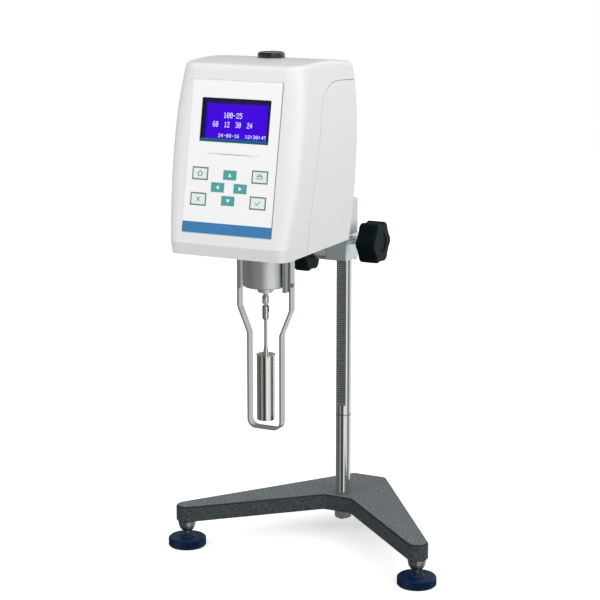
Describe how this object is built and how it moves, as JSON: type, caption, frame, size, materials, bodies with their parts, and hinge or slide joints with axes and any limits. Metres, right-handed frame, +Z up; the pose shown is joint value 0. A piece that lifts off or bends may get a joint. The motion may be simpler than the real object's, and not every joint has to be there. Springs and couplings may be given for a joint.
{
  "type": "rotational viscometer",
  "caption": "Digital rotational viscometer: leaning instrument head with screen and keys, guarded cylinder rotor, rack-and-pinion column and levelling base.",
  "frame": {"origin": "on the bench under the middle of the bounding box", "axes": "+Z up, front panel towards -Y, lift knob on the operator's right at +X"},
  "size_m": [0.3016, 0.329, 0.5268],
  "materials": {
    "base_paint": "hammered",
    "steel": "polished",
    "fastener_steel": "satin",
    "collar_metal": "satin",
    "disc_plastic": "serrated",
    "slider_metal": "satin",
    "grey_paint": "satin",
    "knob_plastic": "satin",
    "housing_plastic": "fine satin",
    "cast_aluminium": "satin",
    "housing_metal": "satin",
    "bearing_bronze": "plain",
    "overlay_print": "printed film",
    "display_glass": "clear",
    "display_frame": "satin",
    "display_screen": "lit",
    "key_mint": "printed film",
    "key_teal": "printed film",
    "vial_black": "gloss",
    "vial_clear": "clear",
    "board_green": "laminate",
    "motor_steel": "satin",
    "brass": "plain",
    "black_plastic": "moulded"
  },
  "bodies": {
    "stand": {"base_casting": "base_paint", "column": "steel", "column_nut": "fastener_steel", "stop_ring": "fastener_steel", "rack": "steel", "level_collars": "collar_metal"},
    "carriage": {"slider_block": "slider_metal", "slider_cap": "grey_paint", "slider_screws": "fastener_steel", "head_rod": "steel", "pinion_bush": "steel", "lock_sleeve": "steel", "lock_cotter": "steel", "front_shell": "housing_plastic", "rear_cover": "housing_plastic", "floor_casting": "cast_aluminium", "shell_screws": "fastener_steel", "panel_overlay": "overlay_print", "display_glass": "display_glass", "display_frame": "display_frame", "display_module": "display_screen", "keypad_board": "board_green", "vial_ring": "vial_black", "vial_capsule": "vial_clear", "guard_saddle": "steel", "guard_strip": "steel", "guard_screws": "fastener_steel", "spindle_housing": "housing_metal", "spindle_bearings": "bearing_bronze", "motor_bridge": "cast_aluminium", "motor": "motor_steel", "main_board": "board_green", "power_entry": "black_plastic", "serial_port": "black_plastic"},
    "lift_knob": {"pinion": "steel", "lift_knob": "knob_plastic"},
    "lock_knob": {"lock_screw": "steel", "lock_knob": "knob_plastic"},
    "drive": {"drive_shaft": "brass", "hairspring": "brass"},
    "spindle": {"spindle": "steel", "encoder_lower": "brass"},
    "joint_link": {"joint_link": "steel"},
    "rotor": {"rotor_coupling": "steel", "rotor": "steel"},
    "switch_rocker": {"switch_rocker": "black_plastic"},
    "foot_left": {"level_disc_left": "disc_plastic", "level_stud_left": "steel"},
    "foot_right": {"level_disc_right": "disc_plastic", "level_stud_right": "steel"},
    "foot_rear": {"level_disc_rear": "disc_plastic", "level_stud_rear": "steel"},
    "key_upper_left": {"key_upper_left": "key_mint"},
    "key_upper_right": {"key_upper_right": "key_mint"},
    "key_lower_left": {"key_lower_left": "key_mint"},
    "key_lower_right": {"key_lower_right": "key_mint"},
    "key_up": {"key_up": "key_teal"},
    "key_down": {"key_down": "key_teal"},
    "key_left": {"key_left": "key_teal"},
    "key_right": {"key_right": "key_teal"}
  },
  "joints": [
    {"name": "lift_slide", "type": "slide", "parent": "stand", "child": "carriage", "axis": [0, 0, 1], "range_m": [-0.15, 0.055]},
    {"name": "lift_knob_turn", "type": "hinge", "parent": "carriage", "child": "lift_knob", "pos_m": [0.0268, 0.08315, 0.323], "axis": [1, 0, 0], "range_deg": [-531.2, 1438.4]},
    {"name": "lock_knob_turn", "type": "hinge", "parent": "carriage", "child": "lock_knob", "pos_m": [-0.0298, 0.08245, 0.3082], "axis": [1, 0, 0], "range_deg": [-180, 360]},
    {"name": "drive_turn", "type": "hinge", "parent": "carriage", "child": "drive", "pos_m": [0, -0.08405, 0.384], "axis": [0, 0, 1], "continuous": true},
    {"name": "spring_wind", "type": "hinge", "parent": "drive", "child": "spindle", "pos_m": [0, -0.08405, 0.3605], "axis": [0, 0, 1], "range_deg": [-80, 80], "stiffness_Nm_per_rad": 0.0005},
    {"name": "joint_tilt_x", "type": "hinge", "parent": "spindle", "child": "joint_link", "pos_m": [0, -0.08405, 0.291], "axis": [1, 0, 0], "range_deg": [-2.5, 2.5]},
    {"name": "joint_tilt_y", "type": "hinge", "parent": "joint_link", "child": "rotor", "pos_m": [0, -0.08405, 0.2826], "axis": [0, 1, 0], "range_deg": [-2.5, 2.5]},
    {"name": "rocker_tilt", "type": "hinge", "parent": "carriage", "child": "switch_rocker", "pos_m": [-0.038, -0.02155, 0.402], "axis": [0, 0, 1], "range_deg": [-10, 0]},
    {"name": "foot_left_turn", "type": "hinge", "parent": "stand", "child": "foot_left", "pos_m": [-0.131, -0.01305, 0.0121], "axis": [0, 0, 1], "range_deg": [-1080, 1080]},
    {"name": "foot_right_turn", "type": "hinge", "parent": "stand", "child": "foot_right", "pos_m": [0.131, -0.01305, 0.0121], "axis": [0, 0, 1], "range_deg": [-1080, 1080]},
    {"name": "foot_rear_turn", "type": "hinge", "parent": "stand", "child": "foot_rear", "pos_m": [0, 0.15045, 0.0121], "axis": [0, 0, 1], "range_deg": [-1080, 1080]},
    {"name": "key_upper_left_press", "type": "slide", "parent": "carriage", "child": "key_upper_left", "axis": [0, 0.9821, -0.1886], "range_m": [0, 0.0005], "stiffness_N_per_m": 1500, "springref_m": -0.0003},
    {"name": "key_upper_right_press", "type": "slide", "parent": "carriage", "child": "key_upper_right", "axis": [0, 0.9821, -0.1886], "range_m": [0, 0.0005], "stiffness_N_per_m": 1500, "springref_m": -0.0003},
    {"name": "key_lower_left_press", "type": "slide", "parent": "carriage", "child": "key_lower_left", "axis": [0, 0.9821, -0.1886], "range_m": [0, 0.0005], "stiffness_N_per_m": 1500, "springref_m": -0.0003},
    {"name": "key_lower_right_press", "type": "slide", "parent": "carriage", "child": "key_lower_right", "axis": [0, 0.9821, -0.1886], "range_m": [0, 0.0005], "stiffness_N_per_m": 1500, "springref_m": -0.0003},
    {"name": "key_up_press", "type": "slide", "parent": "carriage", "child": "key_up", "axis": [0, 0.9821, -0.1886], "range_m": [0, 0.0005], "stiffness_N_per_m": 1500, "springref_m": -0.0003},
    {"name": "key_down_press", "type": "slide", "parent": "carriage", "child": "key_down", "axis": [0, 0.9821, -0.1886], "range_m": [0, 0.0005], "stiffness_N_per_m": 1500, "springref_m": -0.0003},
    {"name": "key_left_press", "type": "slide", "parent": "carriage", "child": "key_left", "axis": [0, 0.9821, -0.1886], "range_m": [0, 0.0005], "stiffness_N_per_m": 1500, "springref_m": -0.0003},
    {"name": "key_right_press", "type": "slide", "parent": "carriage", "child": "key_right", "axis": [0, 0.9821, -0.1886], "range_m": [0, 0.0005], "stiffness_N_per_m": 1500, "springref_m": -0.0003}
  ],
  "couplings": [
    {"joint": "lift_knob_turn", "follows": "lift_slide", "rad_per_m": -166.67}
  ]
}
